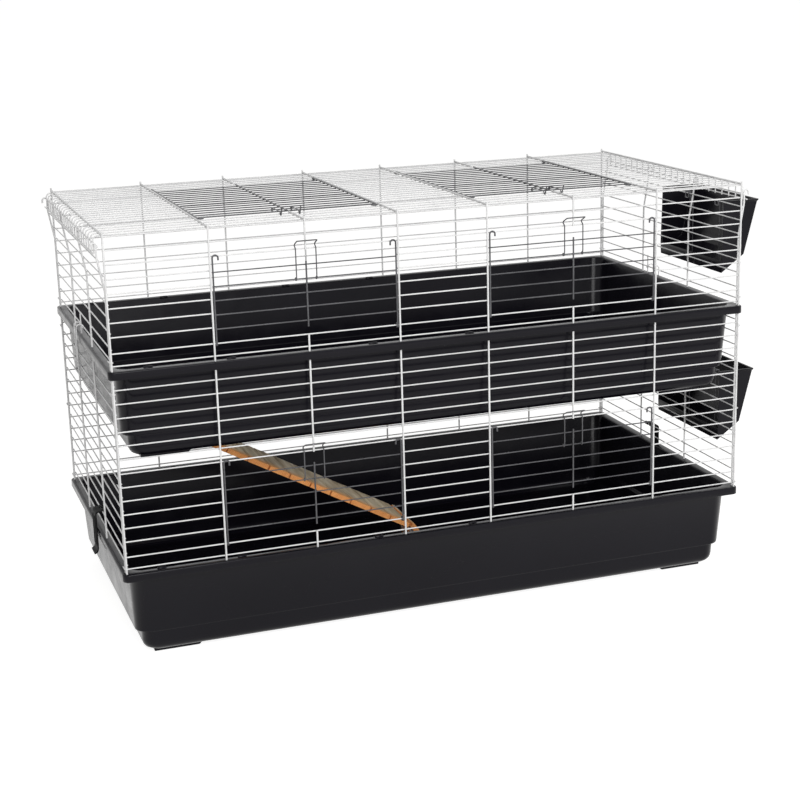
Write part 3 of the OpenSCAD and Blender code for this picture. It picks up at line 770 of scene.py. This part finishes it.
def hay_rack(name, row_z, body, node):
    """Thin open trough with a turned-out rim, from one sheet given a thickness."""
    z = row_z + 0.8
    y0, y1 = RACK_MIDDLE_Y - RACK_LENGTH / 2, RACK_MIDDLE_Y + RACK_LENGTH / 2
    knee = (RACK_X + RACK_KNEE[0], -RACK_KNEE[1])
    profile = [(RACK_X, -RACK_BACK), (RACK_X, -RACK_DEEP), knee, (RACK_X + RACK_OUT, 0)]
    bm = bmesh.new()
    near = [bm.verts.new((x, y0, z + h)) for x, h in profile]
    far = [bm.verts.new((x, y1, z + h)) for x, h in profile]
    for k in range(len(profile) - 1):
        bm.faces.new((near[k], near[k + 1], far[k + 1], far[k]))
    rim = []
    for verts, y, out in ((near, y0, -RACK_RIM_OUT), (far, y1, RACK_RIM_OUT)):
        top = bm.verts.new((RACK_X, y, z))
        end = (verts[0], top, verts[3], verts[2], verts[1])
        bm.faces.new(end if y == y0 else (verts[1], verts[2], verts[3], top, verts[0]))
        rim_back = bm.verts.new((RACK_X, y + out, z))
        rim_front = bm.verts.new((RACK_RIM_X, y + out, z))
        rim.append((top, verts[3], rim_back, rim_front))
    (near_top, near_corner, near_a, near_b), (far_top, far_corner, far_a, far_b) = rim
    bm.faces.new((near_top, near_a, near_b, near_corner))
    bm.faces.new((far_top, far_corner, far_b, far_a))
    bm.faces.new((near_corner, near_b, far_b, far_corner))
    obj = piece(name, bm, body, [PLASTIC], [node], sharp=40)
    shell = obj.modifiers.new("wall", "SOLIDIFY")
    shell.thickness = RACK_WALL * MM
    shell.offset = -1
    shell.use_even_offset = True
    return soften(obj, 0.8, 3, 30)


def rack_hook(bm, row_z, y):
    """Doubled wire over the cross wire, its legs inside the rack."""
    x_in = RACK_X + RACK_WALL + GAP + 1.2
    x_back = ROW_X + crank_at(row_z) - 4.5
    leg = [(x_in, row_z - RACK_HOOK_LEG), (x_in, row_z + 2.9), (x_back, row_z + 2.9), (x_back, row_z - 8)]
    near = [Vector((x, y - 6, z)) for x, z in leg]
    far = [Vector((x, y + 6, z)) for x, z in leg]
    tube(bm, bend(near + list(reversed(far)), 2.6, 4), 2.4, 10)


for storey, lip, k in (("lower", BASE_LIP, 6), ("upper", MID_LIP, 5)):
    row_z = rack_row(lip, k)
    body = f"rack_{storey}"
    hay_rack(f"hay_rack_{storey}_trough", row_z, body, f"hay_rack_{storey}")
    hooks = bmesh.new()
    for y in RACK_HOOKS_Y:
        rack_hook(hooks, row_z, y)
    node = f"rack_hooks_{storey}"
    piece(node + "_wire", hooks, body, [DARK_WIRE], [node], sharp=60)


# Ramp
SLATS = 14
SLAT_GAP = 2.4
FLOOR_TOP = BASE_LIP - TRAY_DEEP + WALL
# Underside of the ramp: straight down from the opening, then bent steeply to the base tray's floor
CURVE = bend(
    [
        (BAR_X + 10, 0, RAMP_BAR_Z - 13.1),
        (BAR_X + 510, 0, BASE_LIP - 0.56 * TRAY_DEEP),
        (BAR_X + 522, 0, FLOOR_TOP + 0.9 - SLAT_GAP / 2),
    ],
    30,
    8,
)
RUN = [0.0]
for a, b in zip(CURVE, CURVE[1:]):
    RUN.append(RUN[-1] + (b - a).length)
SLAT_PITCH = RUN[-1] / SLATS


def along_ramp(s):
    """Point of the ramp's underside at the length s."""
    s = min(max(s, 0.0), RUN[-1])
    k = max(i for i in range(len(RUN) - 1) if RUN[i] <= s)
    f = (s - RUN[k]) / (RUN[k + 1] - RUN[k])
    return CURVE[k].lerp(CURVE[k + 1], f)


def plank_section(half, tall, soft):
    """Rounded upper edges over a flat underside: (across, up) pairs from one lower corner to the other."""
    angles = [math.radians(15 * k) for k in range(7)]
    corner = [(soft * (1 - math.cos(a)), tall - soft * (1 - math.sin(a))) for a in angles]
    left = [(-half + x, z) for x, z in corner]
    top = [(-half + soft + (half - soft) * 2 * k / 9, tall) for k in range(1, 9)]
    right = [(-x, z) for x, z in reversed(left)]
    return [(-half, 0.0), (-half, tall * 0.4)] + left + top + right + [(half, tall * 0.4), (half, 0.0)]


def plank(bm, index):
    """Thin bare plank with worn edges, a slightly uneven top and sawn ends."""
    rng = random.Random(40 + index)
    middle = along_ramp((index + 0.5) * SLAT_PITCH)
    a = along_ramp((index + 0.05) * SLAT_PITCH)
    b = along_ramp((index + 0.95) * SLAT_PITCH)
    u = (b - a).normalized()
    up = Vector((-u.z, 0, u.x))
    section = plank_section((SLAT_PITCH - SLAT_GAP) / 2, SLAT_T, rng.uniform(1.6, 2.2))
    y_near = RAMP_Y - RAMP_WIDTH / 2 + rng.uniform(0, 1.2)
    y_far = RAMP_Y + RAMP_WIDTH / 2 - rng.uniform(0, 1.2)
    lengthwise = 26
    rings = []
    for j in range(lengthwise + 1):
        y = y_near + (y_far - y_near) * j / lengthwise
        worn = 0.5 if j in (0, lengthwise) else 0.0
        points = []
        for across, high in section:
            uneven = noise.noise(Vector((across * 0.07 + index * 7.3, y * 0.02, high * 0.1)))
            high = high - (worn + 0.25 + 0.45 * uneven) * (high / SLAT_T) ** 2
            points.append(middle + u * across * (1 - worn / 40) + up * max(high, 0.0) + Vector((0, y, 0)))
        rings.append(points)
    made = [[bm.verts.new(p) for p in points] for points in rings]
    count = len(section)
    for low, high in zip(made, made[1:]):
        for k in range(count):
            j = (k + 1) % count
            face = bm.faces.new((low[k], low[j], high[j], high[k]))
            face.material_index = 0 if 2 <= k <= count - 4 else 1
    for cap in (made[0], list(reversed(made[-1]))):
        face = bm.faces.new(cap)
        face.material_index = 1


bm = bmesh.new()
for index in range(SLATS):
    plank(bm, index)
piece("ramp_slats_wood", bm, "ramp", [WOOD_TOP, WOOD_END], ["ramp_slats"], sharp=50)


def ramp_wires():
    """Bendable wires under the planks, each ending in an eye round the bar."""
    bm = bmesh.new()
    below = 1.7
    for y in (RAMP_Y - RAMP_WIDTH / 3, RAMP_Y + RAMP_WIDTH / 3):
        path = []
        eye_r = 2 + 0.1 + 1.5
        for k in range(15):
            a = math.radians(160 - 250 * k / 14)
            x, z = BAR_X + eye_r * math.cos(a), RAMP_BAR_Z + eye_r * math.sin(a)
            path.append(Vector((x, y + 3.2 * (1 - k / 14), z)))
        path.append(Vector((BAR_X + 3.2, y, RAMP_BAR_Z - 8.5)))
        for i in range(23):
            s = min((0.15 + i * 13.7 / 22) * SLAT_PITCH, RUN[-1] - 2)
            along = (along_ramp(s + 1) - along_ramp(s - 1)).normalized()
            at = along_ramp(s) + Vector((along.z, 0, -along.x)) * below
            path.append(Vector((at.x, y, at.z)))
        tube(bm, path, 3, 10)
    return piece("ramp_wires_bent", bm, "ramp", [CLIP_WIRE], ["ramp_wires"], sharp=60)


ramp_wires()

# Materials of the CAD nodes that stay
PANEL_SIDES = ("front", "rear", "left", "right")
DOOR_PLACES = ("lower", "upper", "roof")
KEPT = {
    WHITE_WIRE: (
        [f"{storey}_{side}_panel" for storey in STOREYS for side in PANEL_SIDES]
        + ["lower_corner_hooks", "upper_corner_hooks", "roof_panel"]
    ),
    DARK_WIRE: [f"{place}_door_{side}" for place in DOOR_PLACES for side in ("left", "right")],
    CLIP_WIRE: ["ramp_bar"],
}
for material, names in KEPT.items():
    for name in names:
        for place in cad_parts[name].material_slots:
            place.material = material


# Floor, world, lights and camera
FLOOR_GLOW = 0.86
FLOOR_HALF_M = 60
WORLD_LIGHT = 0.3
LAMPS_AIM = (0, 0, 0.4)


def background_rays(tree, level):
    """The level for camera and glossy rays, so that gloss shows the same background; 0 for the rest."""
    path = tree.nodes.new("ShaderNodeLightPath")
    both = tree.nodes.new("ShaderNodeMath")
    both.operation = "ADD"
    tree.links.new(path.outputs["Is Camera Ray"], both.inputs[0])
    tree.links.new(path.outputs["Is Glossy Ray"], both.inputs[1])
    scaled = tree.nodes.new("ShaderNodeMath")
    scaled.operation = "MULTIPLY"
    tree.links.new(both.outputs[0], scaled.inputs[0])
    scaled.inputs[1].default_value = level
    return scaled.outputs[0]


def studio_floor():
    """Large floor, near white to the camera and in reflections alike, that keeps the object's soft shadow."""
    material = bpy.data.materials.new("studio_floor")
    material.use_nodes = True
    tree = material.node_tree
    tree.nodes.clear()
    out = tree.nodes.new("ShaderNodeOutputMaterial")
    diffuse = tree.nodes.new("ShaderNodeBsdfDiffuse")
    diffuse.inputs["Color"].default_value = (0.5, 0.49, 0.475, 1)
    glow = tree.nodes.new("ShaderNodeEmission")
    tree.links.new(background_rays(tree, FLOOR_GLOW), glow.inputs["Strength"])
    add = tree.nodes.new("ShaderNodeAddShader")
    tree.links.new(diffuse.outputs[0], add.inputs[0])
    tree.links.new(glow.outputs[0], add.inputs[1])
    tree.links.new(add.outputs[0], out.inputs["Surface"])
    bm = bmesh.new()
    bmesh.ops.create_grid(bm, x_segments=1, y_segments=1, size=FLOOR_HALF_M)
    mesh = bpy.data.meshes.new("studio_floor")
    bm.to_mesh(mesh)
    bm.free()
    mesh.materials.append(material)
    floor = bpy.data.objects.new("studio_floor", mesh)
    bpy.context.collection.objects.link(floor)


def studio_world(level):
    """Even pale surround, white where the camera or a reflection looks at it."""
    world = bpy.data.worlds.new("studio")
    bpy.context.scene.world = world
    world.use_nodes = True
    tree = world.node_tree
    tree.nodes.clear()
    out = tree.nodes.new("ShaderNodeOutputWorld")
    light = tree.nodes.new("ShaderNodeBackground")
    light.inputs["Color"].default_value = (1.0, 1.0, 1.0, 1)
    light.inputs["Strength"].default_value = level
    white = tree.nodes.new("ShaderNodeBackground")
    white.inputs["Color"].default_value = (1, 1, 1, 1)
    white.inputs["Strength"].default_value = 1.0
    mix = tree.nodes.new("ShaderNodeMixShader")
    tree.links.new(background_rays(tree, 1.0), mix.inputs["Fac"])
    tree.links.new(light.outputs[0], mix.inputs[1])
    tree.links.new(white.outputs[0], mix.inputs[2])
    tree.links.new(mix.outputs[0], out.inputs["Surface"])


def softbox(name, at, target, size, power, shines=True):
    """A rectangular lamp; one that doesn't shine leaves no highlight of its own."""
    data = bpy.data.lights.new(name, "AREA")
    data.shape = "RECTANGLE"
    data.size, data.size_y = size
    data.energy = power
    lamp = bpy.data.objects.new(name, data)
    lamp.location = at
    lamp.rotation_euler = (Vector(target) - Vector(at)).to_track_quat("-Z", "Y").to_euler()
    lamp.visible_glossy = shines
    bpy.context.collection.objects.link(lamp)


CAMERA_AT = row(-1015.0, -2985.9, 1200.2)
CAMERA_ALONG = Vector((0.3141, 0.9121, -0.2634)).normalized()
CAMERA_ROLL = math.radians(-1.57)
FOCAL_PX = 1663.74
PHOTO_PX = 800
SENSOR_MM = 36.0


def photo_camera():
    """The camera fitted to the photograph's wire crossings and lip corners."""
    data = bpy.data.cameras.new("photo_camera")
    data.sensor_width = SENSOR_MM
    data.lens = FOCAL_PX / PHOTO_PX * SENSOR_MM
    data.clip_end = 200
    right = CAMERA_ALONG.cross(Vector((0, 0, 1))).normalized()
    up = right.cross(CAMERA_ALONG)
    c, s = math.cos(CAMERA_ROLL), math.sin(CAMERA_ROLL)
    x_axis, y_axis = right * c + up * s, up * c - right * s
    camera = bpy.data.objects.new("photo_camera", data)
    turn = Matrix((x_axis, y_axis, -CAMERA_ALONG)).transposed().to_4x4()
    camera.matrix_world = Matrix.Translation(CAMERA_AT) @ turn
    bpy.context.collection.objects.link(camera)
    bpy.context.scene.camera = camera


studio_floor()
studio_world(WORLD_LIGHT)
softbox("key_light", (-0.9, -3.6, 2.0), LAMPS_AIM, (2.2, 1.8), 95)
softbox("top_light", (0.3, -0.6, 3.4), LAMPS_AIM, (2.6, 2.0), 9)
softbox("right_light", (3.0, -1.6, 1.8), LAMPS_AIM, (1.6, 1.6), 16)
softbox("low_fill_light", (1.5, -3.2, 0.9), (-0.1, 0, 0.2), (1.6, 1.0), 30, shines=False)
photo_camera()
bpy.context.scene.view_settings.view_transform = "Standard"
